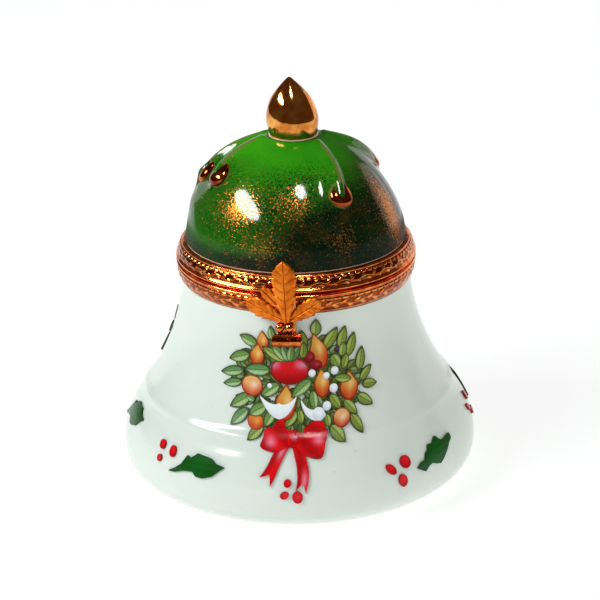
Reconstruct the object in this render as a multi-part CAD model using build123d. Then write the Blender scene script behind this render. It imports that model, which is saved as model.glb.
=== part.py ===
from build123d import *
import math
import os

# Hinged porcelain trinket box in the shape of a bell, all sizes in mm.
# The origin is at the centre of the foot, +Z is up, the clasp is at -Y and the hinge at +Y.

# Porcelain body
split_z = 37.0  # plane where the lid meets the body
lip_r = 28.5  # widest line of the skirt
lip_z = 5.8  # height of the widest line
foot_in = 5.9  # how far the foot ring's outer edge lies inside the widest line
foot_w = 2.4  # width of the foot ring
foot_recess = 1.6  # hollow of the underside inside the foot ring
floor_t = 2.8
wall_t = 2.6
flare_top_r = 18.0  # radius the flare reaches at the split plane
skirt_out = 3.9  # how far the widest line stands out beyond the foot of the flare
step_z = 15.3  # top of the moulded step round the skirt
step_h = 1.0  # height of the step's slope
step_out = 0.2  # how far the skirt stands out below the step
rebate_d = 0.35  # how far the neck is set back for its metal band

# Metal bands on the two rims
flange_lip = 0.4  # how far the flanges reach in past the body's porcelain
band_proud = 1.1  # how far the bands stand out from the flare's top radius
band_t = 0.45  # thickness of the rolled strip
flange_t = 0.45  # flange turned over the porcelain rim
bead_h = 0.8  # rolled bead along the meeting edge
bead_in = 0.2  # how far the strip is set back behind its bead
lower_band_h = 3.4
upper_band_h = 2.9
lower_swell = 0.35  # sagitta of the rounded strip
upper_swell = 0.3
cement_t = 0.2  # bed of cement between metal and porcelain
ledge_gap = 0.1  # bed under the strip's free edge

# Porcelain lid
dome_set_in = 0.6  # how much smaller the dome is than the flare's top radius
dome_foot = 4.0  # height above the split plane where the dome starts to close in
dome_h = 16.2  # from there to where its curve would meet the axis
dome_power = 1.5  # 2 would be an ellipse; less makes the flanks straighter
lid_wall_t = 2.2
lid_rebate_d = 0.25
rib_r = 0.75  # moulded ribs that run down from the crown
rib_top_r = 4.9  # distance from the axis at which the ribs begin
drop_r = 1.75  # gilded drop at the foot of each rib
drop_sink = 0.25  # how far a drop's centre lies below the dome's surface
ribs = (  # angle from -Y towards +X at the rib's top and at its drop, and the drop's distance from the axis
    (50.0, 36.0, 13.3),
    (112.0, 122.0, 13.3),
    (192.0, 202.0, 13.3),
    (258.0, 265.0, 13.6),
    (284.0, 295.0, 12.2),
)

# Gilded finial
finial_r = 4.3  # widest radius
finial_foot_r = 4.1
finial_h = 9.4  # from its seat to the tip
finial_belly = 1.9  # height of the widest line above the seat
finial_tip_r = 0.5
peg_r = 1.4
peg_l = 1.6
peg_clear = 0.1

# Hinge
knuckle_r = 1.15
knuckle_l = 1.85
knuckle_gap = 0.1
knuckle_count = 5
pin_r = 0.55
pin_clear = 0.05
pin_head_r = 0.85
pin_head_l = 0.3
hinge_stand_off = 0.2  # daylight between the bands and the barrel
saddle_h = 2.1  # height of the saddles that carry the knuckles
saddle_clear = 0.12  # gap between a saddle and the other half's knuckles

# Clasp
clasp_gap = 0.15  # clearance between the clasp and the lower band
tongue_w = 2.8
tongue_t = 0.5
tongue_top = 2.1  # above the split plane
tongue_drop = 6.9  # below the split plane
leaf_t = 0.55
leaf_rise = 5.9  # tip of the upright leaf above the split plane
leaf_w = 3.6
fan_drop = 3.9  # level of the stem that the leaves spring from, below the split plane
left_leaf_tip = (-6.3, 0.9)  # across from the clasp's middle, and below the split plane
right_leaf_tip = (5.2, 0.8)
small_leaf_tip = (-3.7, -1.4)
side_leaf_w = 2.7
small_leaf_w = 1.9
berry_r = 0.72
berry_shift = -0.35  # the pair sits a little to one side
berry_drop = 4.9  # below the split plane
lift_w = 4.6
lift_r = 0.95  # outer radius of the curled thumb lift
lift_t = 0.4
nub_r = 0.45  # catch on the lower band
nub_proud = 0.35
nub_drop = 1.7
nub_clear = 0.1

# Values that follow from the ones above
foot_r = lip_r - foot_in
step_r = lip_r - skirt_out
flare_run = step_r - flare_top_r
flare_bend_r = (flare_run**2 + (split_z - step_z) ** 2) / (2 * flare_run)
dome_r = flare_top_r - dome_set_in
neck_r = flare_top_r - rebate_d
neck_bore_r = flare_top_r - wall_t
mouth_r = neck_bore_r - flange_lip
rim_drop = flange_t + cement_t
band_out_r = flare_top_r + band_proud
dome_z = split_z + dome_foot
dome_bore_r = dome_r - lid_wall_t
lid_neck_r = dome_r - lid_rebate_d
seat_r = finial_foot_r + 0.2
hinge_y = band_out_r + knuckle_r + hinge_stand_off
knuckle_pitch = knuckle_l + knuckle_gap
barrel_l = knuckle_count * knuckle_pitch - knuckle_gap
sheath_r = band_out_r + clasp_gap  # inner radius of the clasp's tongue


def dome_level(radius, inset=0.0):
    """Height of the dome at a distance from the axis, or of the hollow inside it."""
    share = radius / (dome_r - inset)
    return dome_z + (dome_h - inset) * (1 - share**2) ** (1 / dome_power)


finial_seat_z = dome_level(seat_r)


def turned(*edges):
    """Solid turned about Z from a closed outline given as (radius, height)."""
    return revolve(Plane.XZ * make_face(Curve() + list(edges)), Axis.Z)


def flare_point(z, inset=0.0):
    """Point of the flare, or of the wall inside it, at height z."""
    bend = flare_bend_r + inset
    return (flare_top_r + flare_bend_r - math.sqrt(bend**2 - (split_z - z) ** 2), z)


def flare_arc(z_from, z_to, inset=0.0):
    z_mid = (z_from + z_to) / 2
    return ThreePointArc(flare_point(z_from, inset), flare_point(z_mid, inset), flare_point(z_to, inset))


def make_bell_body():
    ledge_z = split_z - lower_band_h - ledge_gap
    rim_z = split_z - rim_drop
    step_top = flare_point(step_z)
    step_foot = (step_top[0] + step_h * 0.6 + step_out, step_z - step_h)
    floor_z = foot_recess + floor_t
    inner_step = flare_point(step_z, wall_t)
    inner_lip = (lip_r - wall_t, max(lip_z, floor_z) + 1.5)
    floor_edge = (inner_lip[0] - 3.0, floor_z)
    rolls = [
        Spline((foot_r, 0), (lip_r, lip_z), tangents=[(0.9, 0.43), (0, 1)]),
        Spline((lip_r, lip_z), step_foot, tangents=[(0, 1), (-0.5, 0.87)]),
    ]
    outside = [
        Line((0, foot_recess), (foot_r - foot_w - foot_recess, foot_recess)),
        Line((foot_r - foot_w - foot_recess, foot_recess), (foot_r - foot_w, 0)),
        Line((foot_r - foot_w, 0), (foot_r, 0)),
        *rolls,
        Line(step_foot, step_top),
        flare_arc(step_z, ledge_z),
        Line(flare_point(ledge_z), (neck_r, ledge_z)),
        Line((neck_r, ledge_z), (neck_r, rim_z)),
    ]
    inside = [
        Line((neck_r, rim_z), (flare_point(rim_z, wall_t)[0], rim_z)),
        flare_arc(rim_z, step_z, wall_t),
        Spline(inner_step, inner_lip, tangents=[(0.5, -0.87), (0, -1)]),
        Spline(inner_lip, floor_edge, tangents=[(0, -1), (-1, 0)]),
        Line(floor_edge, (0, floor_z)),
        Line((0, floor_z), (0, foot_recess)),
    ]
    return turned(*outside, *inside)


def make_band(side, height, edge_r, porcelain_r, bore_r, swell):
    """Rolled metal band and its cement bed, below (side -1) or above (side 1) the split plane."""

    def at(radius, drop):
        return (radius, split_z + side * drop)

    bow = -side * swell  # outwards on either side
    bead_r = bead_h / 2
    bead_start = at(band_out_r - bead_r, 0)
    bead_top = at(band_out_r, bead_r)
    bead_end = at(band_out_r - bead_in, bead_r + math.sqrt(bead_r**2 - (bead_r - bead_in) ** 2))
    free_out = at(edge_r + band_t, height)
    free_in = at(edge_r, height)
    corner = at(band_out_r - bead_in - band_t, flange_t)
    inner_wall = SagittaArc(free_in, corner, -bow)
    band = turned(
        Line(at(mouth_r, 0), bead_start),
        ThreePointArc(bead_start, bead_top, bead_end),
        SagittaArc(bead_end, free_out, bow),
        Line(free_out, free_in),
        inner_wall,
        Line(corner, at(mouth_r, flange_t)),
        Line(at(mouth_r, flange_t), at(mouth_r, 0)),
    )
    cement = turned(
        inner_wall,
        Line(corner, at(bore_r, flange_t)),
        Line(at(bore_r, flange_t), at(bore_r, rim_drop)),
        Line(at(bore_r, rim_drop), at(porcelain_r, rim_drop)),
        Line(at(porcelain_r, rim_drop), at(porcelain_r, height + ledge_gap)),
        Line(at(porcelain_r, height + ledge_gap), at(edge_r, height + ledge_gap)),
        Line(at(edge_r, height + ledge_gap), free_in),
    )
    return band, cement


def on_dome(radius, turn, sink=0.0):
    """Point on the dome at a distance from the axis, turn degrees from -Y towards +X."""
    around = math.radians(turn)
    return (radius * math.sin(around), -radius * math.cos(around), dome_level(radius) - sink)


def make_rib(turn_top, turn_drop, drop_out):
    """One moulded rib with the drop at its foot."""
    steps = [0, 0.35, 0.7, 1]
    radii = [rib_top_r + (drop_out - rib_top_r) * step for step in steps]
    turns = [turn_top + (turn_drop - turn_top) * step for step in steps]
    path = Spline(*[on_dome(radius, turn) for radius, turn in zip(radii, turns)])
    rib = sweep(Plane(path @ 0, z_dir=path % 0) * Circle(rib_r), path=path)
    drop = Pos(*on_dome(drop_out, turn_drop, drop_sink)) * Sphere(drop_r)
    return rib + drop


def dome_curve(start_r, end_r, inset=0.0):
    """Profile of the dome between two distances from the axis."""
    span = dome_r - inset
    angles = [math.acos(radius / span) for radius in (start_r, end_r)]
    count = 9
    radii = [span * math.cos(angles[0] + (angles[1] - angles[0]) * i / count) for i in range(count + 1)]
    points = [(radius, dome_level(radius, inset)) for radius in radii]
    points[0], points[-1] = (start_r, points[0][1]), (end_r, points[-1][1])
    return Spline(*points)


def make_lid_dome():
    ledge_z = split_z + upper_band_h + ledge_gap
    rim_z = split_z + rim_drop
    crown_z = dome_level(0, lid_wall_t)
    shell = turned(
        Line((dome_bore_r, rim_z), (lid_neck_r, rim_z)),
        Line((lid_neck_r, rim_z), (lid_neck_r, ledge_z)),
        Line((lid_neck_r, ledge_z), (dome_r, ledge_z)),
        Line((dome_r, ledge_z), (dome_r, dome_z)),
        dome_curve(dome_r, seat_r),
        Line((seat_r, finial_seat_z), (0, finial_seat_z)),
        Line((0, finial_seat_z), (0, crown_z)),
        dome_curve(0, dome_bore_r, lid_wall_t),
        Line((dome_bore_r, dome_z), (dome_bore_r, rim_z)),
    )
    core = turned(
        Line((0, crown_z), (0, dome_z)),
        Line((0, dome_z), (dome_bore_r, dome_z)),
        dome_curve(dome_bore_r, 0, lid_wall_t),
    )
    for turn_top, turn_drop, drop_out in ribs:
        shell = shell + (make_rib(turn_top, turn_drop, drop_out) - core)
    socket_l = peg_l + peg_clear
    return shell - Pos(0, 0, finial_seat_z - socket_l / 2) * Cylinder(peg_r + peg_clear, socket_l)


def make_finial():
    belly = (finial_r, finial_seat_z + finial_belly)
    tip_z = finial_seat_z + finial_h
    half = math.radians(45)
    nose_z = tip_z - finial_tip_r
    nose = (finial_tip_r * math.sin(half), nose_z + finial_tip_r * math.cos(half))
    side = (finial_r * 0.77, finial_seat_z + finial_belly + (finial_h - finial_belly) * 0.53)
    crown = (finial_tip_r * math.sin(half / 2), nose_z + finial_tip_r * math.cos(half / 2))
    return turned(
        Line((0, finial_seat_z - peg_l), (peg_r, finial_seat_z - peg_l)),
        Line((peg_r, finial_seat_z - peg_l), (peg_r, finial_seat_z)),
        Line((peg_r, finial_seat_z), (finial_foot_r, finial_seat_z)),
        Spline((finial_foot_r, finial_seat_z), belly, tangents=[(0.25, 1), (0, 1)]),
        Spline(belly, side, nose, tangents=[(0, 1), (-1, 1)]),
        ThreePointArc(nose, crown, (0, tip_z)),
        Line((0, tip_z), (0, finial_seat_z - peg_l)),
    )


def knuckle_x(index):
    return (index - (knuckle_count - 1) / 2) * knuckle_pitch


def bar(radius, length, x=0.0):
    """Round bar on the hinge axis."""
    return Pos(x, hinge_y, split_z) * Rot(0, 90, 0) * Cylinder(radius, length)


def make_knuckle(index):
    x = knuckle_x(index)
    return bar(knuckle_r, knuckle_l, x) - bar(pin_r + pin_clear, knuckle_l * 2, x)


def make_pin():
    head_x = barrel_l / 2 + pin_head_l / 2
    pin = bar(pin_r, barrel_l + pin_head_l)
    return pin + bar(pin_head_r, pin_head_l, head_x) + bar(pin_head_r, pin_head_l, -head_x)


def make_saddle(side, band, cement, own):
    """Solder saddle that carries one half's knuckles on its band."""
    start_y = neck_r
    z_near = split_z + side * 0.3
    z_far = split_z + side * (0.3 + saddle_h)
    block = Pos(0, (start_y + hinge_y) / 2, (z_near + z_far) / 2) * Box(
        barrel_l, hinge_y - start_y, saddle_h
    )
    inner = Pos(0, 0, split_z) * Cylinder(band_out_r - bead_in - band_t, 4 * saddle_h)
    saddle = block - band - cement - inner
    for index in range(knuckle_count):
        mine = index in own
        reach = knuckle_r if mine else knuckle_r + saddle_clear
        width = knuckle_l if mine else knuckle_l + 2 * knuckle_gap
        saddle = saddle - bar(reach, width, knuckle_x(index))
    return saddle - bar(knuckle_r, barrel_l)


def draped(outline, inner_r, thickness):
    """Sheet cut to an outline given as (x, z) and bent round the front of the bands."""
    reach = inner_r + 2 * thickness
    blank = extrude(Plane.XZ * outline, reach)
    tube = Cylinder(inner_r + thickness, 4 * split_z) - Cylinder(inner_r, 4 * split_z)
    return blank & tube


def leaf_outline(base, tip, width):
    """Pointed leaf, widest a little above the middle, as a face."""
    bx, bz = base
    tx, tz = tip
    length = math.hypot(tx - bx, tz - bz)
    ux, uz = (tx - bx) / length, (tz - bz) / length
    half = width / 2

    def at(along, across):
        return (bx + ux * along * length - uz * across, bz + uz * along * length + ux * across)

    def side(sign):
        return [at(along, sign * share * half) for along, share in ((0, 0.25), (0.6, 1), (0.85, 0.72), (1, 0))]

    edges = [Spline(*side(1)), Spline(*side(-1)), Line(side(1)[0], side(-1)[0])]
    return make_face(Curve() + edges)


def make_side_leaf(base, tip, width):
    across, drop = tip
    return draped(leaf_outline(base, (across, split_z - drop), width), sheath_r + tongue_t, leaf_t)


def make_clasp_tongue(band):
    low_z = split_z - tongue_drop
    high_z = split_z + tongue_top
    lower = draped(
        Pos(0, (low_z + split_z + bead_h) / 2) * Rectangle(tongue_w, split_z + bead_h - low_z),
        sheath_r,
        tongue_t,
    )
    pad_outline = Pos(0, (split_z + 0.3 + high_z) / 2) * Rectangle(tongue_w, high_z - split_z - 0.3)
    pad = draped(pad_outline, lid_neck_r + band_t, sheath_r + tongue_t - lid_neck_r - band_t) - band
    pad = max(pad.solids(), key=lambda solid: -solid.center().Y)
    groove_top = split_z - nub_drop + nub_r + nub_clear
    groove_w = 2 * (nub_r + nub_clear)
    groove_l = groove_top - low_z + 1
    groove_y = -(band_out_r + nub_proud + nub_clear)
    groove = Pos(0, groove_y + tongue_t, groove_top - groove_l / 2) * Box(groove_w, 2 * tongue_t, groove_l)
    return (lower + pad) - groove


def make_catch_nub(band, cement):
    length = nub_proud + band_t
    face_y = -(band_out_r + nub_proud)
    post = Pos(0, face_y + length / 2, split_z - nub_drop) * Rot(90, 0, 0) * Cylinder(nub_r, length)
    rim = post.edges().filter_by(GeomType.CIRCLE).sort_by(Axis.Y)[0]
    return fillet(rim, nub_proud / 2) - band - cement


def make_berry(x):
    centre_r = sheath_r + tongue_t + berry_r * 0.8
    ball = Pos(x, -centre_r, split_z - berry_drop) * Sphere(berry_r)
    return ball - Cylinder(sheath_r + tongue_t, 4 * split_z)


def make_thumb_lift():
    """Strip that drops from the tongue and curls forward into a lip."""
    centre_y = -(sheath_r + tongue_t + lift_r)
    centre_z = split_z - tongue_drop
    ring = Circle(lift_r) - Circle(lift_r - lift_t)
    mouth = Pos(-lift_r, lift_r * 0.55) * Rectangle(2 * lift_r, lift_r)
    scroll = extrude(Plane.YZ * (Pos(centre_y, centre_z) * (ring - mouth)), lift_w / 2, both=True)
    return scroll - Cylinder(sheath_r + tongue_t, 4 * split_z)


lower_band, lower_cement = make_band(
    -1, lower_band_h, neck_r + cement_t, neck_r, neck_bore_r, lower_swell
)
upper_band, upper_cement = make_band(
    1, upper_band_h, lid_neck_r + cement_t, lid_neck_r, dome_bore_r, upper_swell
)
lower_own = range(0, knuckle_count, 2)
upper_own = range(1, knuckle_count, 2)
stem = split_z - fan_drop
leaf_r = sheath_r + tongue_t
tongue = make_clasp_tongue(upper_band)
left_leaf = make_side_leaf((-0.2, stem), left_leaf_tip, side_leaf_w)
right_leaf = make_side_leaf((0.2, stem), right_leaf_tip, side_leaf_w)
small_leaf = make_side_leaf((-0.6, stem + 1.8), small_leaf_tip, small_leaf_w)
centre_leaf = draped(
    leaf_outline((0, stem), (0, split_z + leaf_rise), leaf_w), leaf_r + leaf_t, leaf_t
)

nodes = {
    "bell_body": make_bell_body(),
    "lid_dome": make_lid_dome(),
    "finial": make_finial(),
    "lower_bezel": lower_band,
    "lower_cement": lower_cement,
    "upper_bezel": upper_band,
    "upper_cement": upper_cement,
    "lower_hinge_saddle": make_saddle(-1, lower_band, lower_cement, lower_own),
    "upper_hinge_saddle": make_saddle(1, upper_band, upper_cement, upper_own),
    "hinge_pin": make_pin(),
    "clasp_tongue": tongue,
    "clasp_centre_leaf": centre_leaf,
    "clasp_left_leaf": left_leaf,
    "clasp_right_leaf": right_leaf - left_leaf,
    "clasp_small_leaf": small_leaf - left_leaf,
    "clasp_berry_left": make_berry(berry_shift - berry_r),
    "clasp_berry_right": make_berry(berry_shift + berry_r),
    "clasp_thumb_lift": make_thumb_lift(),
    "catch_nub": make_catch_nub(lower_band, lower_cement),
}
for index in range(knuckle_count):
    nodes[f"hinge_knuckle_{index + 1}"] = make_knuckle(index)

os.makedirs("parts", exist_ok=True)
for name, solid in nodes.items():
    export_step(solid, f"parts/{name}.step")
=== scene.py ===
import math

import bmesh
import bpy
import numpy as np
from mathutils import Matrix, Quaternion, Vector
from mathutils.bvhtree import BVHTree


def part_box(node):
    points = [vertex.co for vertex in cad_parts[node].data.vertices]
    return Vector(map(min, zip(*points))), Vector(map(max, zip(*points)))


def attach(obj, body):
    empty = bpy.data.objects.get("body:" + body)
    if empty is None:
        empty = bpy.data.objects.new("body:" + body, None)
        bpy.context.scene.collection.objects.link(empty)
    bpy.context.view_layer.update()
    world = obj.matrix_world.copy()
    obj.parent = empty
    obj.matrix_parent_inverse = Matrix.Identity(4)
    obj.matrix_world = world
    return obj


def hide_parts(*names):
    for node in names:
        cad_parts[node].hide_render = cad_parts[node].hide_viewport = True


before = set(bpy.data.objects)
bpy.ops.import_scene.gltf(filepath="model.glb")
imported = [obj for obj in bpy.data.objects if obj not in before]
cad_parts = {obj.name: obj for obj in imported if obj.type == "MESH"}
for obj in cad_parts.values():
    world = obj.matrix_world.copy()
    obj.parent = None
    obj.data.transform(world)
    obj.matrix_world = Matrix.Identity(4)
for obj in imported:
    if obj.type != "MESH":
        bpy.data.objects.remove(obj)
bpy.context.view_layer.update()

# Lengths are in mm until a mesh is made. A turn is an angle from -Y towards +X, in degrees.
MM = 0.001
OUTSIDE = 60.0  # clear of every piece
SPLIT_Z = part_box("lower_bezel")[1].z / MM


# ---------------------------------------------------------------- shapes read from the frame


def corners(node):
    low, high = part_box(node)
    return low / MM, high / MM


def surface_of(node):
    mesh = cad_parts[node].data
    points = [vertex.co / MM for vertex in mesh.vertices]
    return BVHTree.FromPolygons(points, [tuple(face.vertices) for face in mesh.polygons])


def reach(surface, start, heading):
    """Where a ray first meets a surface, as (radius, height)."""
    spot = surface.ray_cast(Vector(start), Vector(heading).normalized())[0]
    return math.hypot(spot.x, spot.y), spot.z


def outer_radius(surface, level):
    return reach(surface, (OUTSIDE, 0, level), (-1, 0, 0))[0]


def bore_radius(surface, level, start=0.0):
    return reach(surface, (start, 0, level), (1, 0, 0))[0]


# ---------------------------------------------------------------- profiles and directions


def softened(values, width):
    """Values smoothed over about this many samples, with the ends kept."""
    span = np.arange(-3 * width, 3 * width + 1)
    weights = np.exp(-0.5 * (span / width) ** 2)
    padded = np.pad(values, 3 * width, mode="reflect", reflect_type="odd")
    return np.convolve(padded, weights / weights.sum(), mode="valid")


def fade(values, low, high):
    """0 below low and 1 above high, with a smooth step between."""
    share = np.clip((values - low) / (high - low), 0, 1)
    return share * share * (3 - 2 * share)


def fade_out(values, low, high):
    """1 below low and 0 above high."""
    return fade(-values, -high, -low)


def hump(values, middle, spread):
    """1 at the middle, falling away on both sides."""
    return np.exp(-(((values - middle) / spread) ** 2))


def apart(turns, turn):
    """Degrees from one turn to others, between -180 and 180."""
    return (turns - turn + 180) % 360 - 180


def circle(count):
    """Angles evenly round a circle, in radians."""
    return np.arange(count) * 2 * math.pi / count


def spots(x, y, z):
    """Points whose last axis is xyz, from coordinates that broadcast to one shape."""
    return np.stack(np.broadcast_arrays(x, y, z), -1)


def outwards(around):
    """Level directions away from the axis."""
    return spots(np.sin(around), -np.cos(around), 0.0)


# ---------------------------------------------------------------- meshes


def grid_faces(rows, cols, wrap_rows=False, wrap_cols=True, start=0):
    row = np.arange(rows if wrap_rows else rows - 1)
    col = np.arange(cols if wrap_cols else cols - 1)
    a, b = np.meshgrid(row, col, indexing="ij")
    a2, b2 = (a + 1) % rows, (b + 1) % cols
    quads = np.stack([a * cols + b, a * cols + b2, a2 * cols + b2, a2 * cols + b], -1)
    return (quads.reshape(-1, 4) + start).tolist()


def turned(radii, levels, columns):
    """Rings of points about Z, as an array of rows, columns and xyz."""
    around = circle(columns)
    across = np.asarray(radii)[:, None]
    return spots(across * np.sin(around), -across * np.cos(around), np.asarray(levels)[:, None])


def loop_body(points):
    """Closed ring-shaped mesh from rings that run all the way round an outline."""
    rows, cols, _ = points.shape
    return points.reshape(-1, 3), grid_faces(rows, cols, wrap_rows=True)


def capped_body(points):
    """Closed mesh from rings between two poles, which are the first and the last ring's middles."""
    rows, cols, _ = points.shape
    count = rows * cols
    poles = [points[0].mean(0), points[-1].mean(0)]
    faces = grid_faces(rows, cols)
    for pole, first in ((count, 0), (count + 1, count - cols)):
        faces += [[pole, first + i, first + (i + 1) % cols] for i in range(cols)]
    return np.concatenate([points.reshape(-1, 3), poles]), faces


def sheet_body(top, bottom):
    """Closed sheet from two grids of the same shape."""
    rows, cols, _ = top.shape
    count = rows * cols
    faces = grid_faces(rows, cols, wrap_cols=False)
    faces += grid_faces(rows, cols, wrap_cols=False, start=count)
    index = np.arange(count).reshape(rows, cols)
    rim = [*index[0], *index[1:, -1], *index[-1, -2::-1], *index[-2:0:-1, 0]]
    for a, b in zip(rim, rim[1:] + rim[:1]):
        faces.append([int(a), int(b), int(b) + count, int(a) + count])
    return np.concatenate([top.reshape(-1, 3), bottom.reshape(-1, 3)]), faces


def disc_body(top, bottom):
    """Closed disc from two stacks of rings, each around its own middle point."""
    rings, cols, _ = top.shape
    count = rings * cols
    faces = grid_faces(rings, cols)
    faces += grid_faces(rings, cols, start=count + 1)
    last = count - cols
    for i in range(cols):
        after = (i + 1) % cols
        faces.append([count, i, after])
        faces.append([2 * count + 1, count + 1 + i, count + 1 + after])
        faces.append([last + i, last + after, count + 1 + last + after, count + 1 + last + i])
    parts = [top.reshape(-1, 3), top[:1].mean(1), bottom.reshape(-1, 3), bottom[:1].mean(1)]
    return np.concatenate(parts), faces


def joined(bodies):
    """Several (points, faces) as one."""
    points, faces, start = [], [], 0
    for body_points, body_faces in bodies:
        points.append(body_points)
        faces += [[corner + start for corner in face] for face in body_faces]
        start += len(body_points)
    return np.concatenate(points), faces


def placed(name, data):
    """New object in the scene."""
    made = bpy.data.objects.new(name, data)
    bpy.context.scene.collection.objects.link(made)
    return made


def piece(name, body, shape, material, replaces=(), values=None, sharp=38):
    """Mesh object that rides on a CAD body, with values as its vertex attributes."""
    points, faces = shape
    mesh = bpy.data.meshes.new(name)
    mesh.from_pydata((np.asarray(points) * MM).tolist(), [], faces)
    for key, data in (values or {}).items():
        data = np.asarray(data, np.float32)
        if data.ndim == 1:
            mesh.attributes.new(key, "FLOAT", "POINT").data.foreach_set("value", data)
        else:
            rgba = np.concatenate([data, np.ones((len(data), 1), np.float32)], 1)
            mesh.attributes.new(key, "FLOAT_COLOR", "POINT").data.foreach_set("color", rgba.ravel())
    work = bmesh.new()
    work.from_mesh(mesh)
    bmesh.ops.recalc_face_normals(work, faces=work.faces)
    work.to_mesh(mesh)
    work.free()
    mesh.shade_smooth()
    mesh.set_sharp_from_angle(angle=math.radians(sharp))
    mesh.materials.append(material)
    made = placed(name, mesh)
    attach(made, body)
    if replaces:
        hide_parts(*replaces)
    return made


# ---------------------------------------------------------------- materials


def paint(red, green, blue):
    """Linear colour from the 0 to 255 values that a colour picker shows."""
    tones = np.array([red, green, blue]) / 255
    return np.where(tones <= 0.04045, tones / 12.92, ((tones + 0.055) / 1.055) ** 2.4)


class Finish:
    """A node material. Most methods add a node and return its output."""

    def __init__(self, name):
        self.material = bpy.data.materials.new(name)
        self.material.use_nodes = True
        self.tree = self.material.node_tree
        self.tree.nodes.clear()
        self.spot = None

    def node(self, kind, inputs, **settings):
        made = self.tree.nodes.new("ShaderNode" + kind)
        for key, value in settings.items():
            setattr(made, key, value)
        for key, value in inputs.items():
            if isinstance(value, bpy.types.NodeSocket):
                self.tree.links.new(value, made.inputs[key])
            elif isinstance(value, np.ndarray):
                made.inputs[key].default_value = (*value, 1.0)
            else:
                made.inputs[key].default_value = value
        return made

    def place(self):
        """Object coordinates in mm."""
        if self.spot is None:
            coordinates = self.node("TexCoord", {}).outputs["Object"]
            scaled = self.node("VectorMath", {0: coordinates, 3: 1 / MM}, operation="SCALE")
            self.spot = scaled.outputs[0]
        return self.spot

    def height(self):
        return self.node("SeparateXYZ", {0: self.place()}).outputs["Z"]

    def noise(self, per_mm, detail=2.0):
        inputs = {"Vector": self.place(), "Scale": per_mm, "Detail": detail}
        return self.node("TexNoise", inputs).outputs["Fac"]

    def cells(self, per_mm):
        inputs = {"Vector": self.place(), "Scale": per_mm}
        return self.node("TexVoronoi", inputs).outputs["Distance"]

    def value(self, name):
        return self.node("Attribute", {}, attribute_name=name).outputs["Fac"]

    def tint(self, name):
        return self.node("Attribute", {}, attribute_name=name).outputs["Color"]

    def math(self, operation, a, b=0.0):
        return self.node("Math", {0: a, 1: b}, operation=operation).outputs[0]

    def plus(self, a, b):
        return self.math("ADD", a, b)

    def minus(self, a, b):
        return self.math("SUBTRACT", a, b)

    def times(self, a, b):
        return self.math("MULTIPLY", a, b)

    def step(self, value, low, high):
        inputs = {"Value": value, "From Min": low, "From Max": high}
        return self.node("MapRange", inputs, interpolation_type="SMOOTHSTEP").outputs["Result"]

    def span(self, value, low, high):
        """Value from 0 to 1 stretched to run from low to high."""
        return self.node("MapRange", {"Value": value, "To Min": low, "To Max": high}).outputs["Result"]

    def mix(self, factor, a, b):
        return self.node("Mix", {0: factor, 6: a, 7: b}, data_type="RGBA").outputs[2]

    def bump(self, height, depth, normal=None):
        """Relief whose full height is depth mm."""
        inputs = {"Height": height, "Strength": 1.0, "Distance": depth * MM}
        if normal is not None:
            inputs["Normal"] = normal
        return self.node("Bump", inputs).outputs["Normal"]

    def surface(self, **inputs):
        named = {key.replace("_", " "): value for key, value in inputs.items()}
        return self.shown_as(self.node("BsdfPrincipled", named))

    def shown_as(self, shader):
        self.node("OutputMaterial", {"Surface": shader.outputs[0]})
        return self.material


def porcelain(name):
    """Hard white glaze over porcelain, bare on the foot ring's face."""
    f = Finish(name)
    ripple = f.noise(0.16, 3.0)
    pits = f.step(f.cells(0.55), 0.0, 0.09)
    glaze = f.mix(ripple, paint(219, 229, 222), paint(230, 234, 227))
    flecks = f.step(f.noise(1.7, 5.0), 0.70, 0.78)
    glazed = f.mix(flecks, glaze, paint(196, 203, 192))
    bare = f.step(f.height(), 0.16, 0.04)
    grain = f.noise(9.0, 4.0)
    biscuit = f.mix(grain, paint(224, 216, 200), paint(238, 232, 220))
    relief = f.bump(f.noise(0.33, 3.0), 0.035, f.bump(pits, 0.006))
    return f.surface(
        Base_Color=f.mix(bare, glazed, biscuit),
        Roughness=f.plus(f.times(bare, 0.55), f.span(ripple, 0.10, 0.18)),
        Specular_IOR_Level=0.26,
        Normal=relief,
        Subsurface_Weight=0.06,
        Subsurface_Radius=(1.0, 0.9, 0.8),
        Subsurface_Scale=0.0008,
    )


def painted(name, outline, rim=0.86, veins=False, stipple=0.25, grain=6.0):
    """Enamel painting fired on the glaze: brushed tint, darker outline and, on leaves, ribs."""
    f = Finish(name)
    strokes = f.noise(grain, 4.0)
    body = f.mix(f.span(strokes, 0.0, stipple), f.tint("tint"), outline)
    wobble = f.plus(f.value("rim"), f.span(f.noise(2.6, 3.0), -0.09, 0.09))
    line = f.step(wobble, rim, rim + 0.1)
    if veins:
        across = f.math("ABSOLUTE", f.value("across"))
        rib = f.minus(1.0, f.step(across, 0.03, 0.13))
        slant = f.minus(f.value("along"), f.times(across, 0.22))
        wave = f.math("SINE", f.times(slant, 38.0))
        side = f.times(f.step(wave, 0.72, 0.98), 0.5)
        line = f.math("MAXIMUM", line, f.times(f.math("MAXIMUM", rib, side), 0.75))
    thick = f.bump(f.noise(3.0, 3.0), 0.03)
    return f.surface(
        Base_Color=f.mix(f.times(line, 0.85), body, outline),
        Roughness=f.span(strokes, 0.16, 0.30),
        Specular_IOR_Level=0.22,
        Normal=thick,
    )


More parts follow.
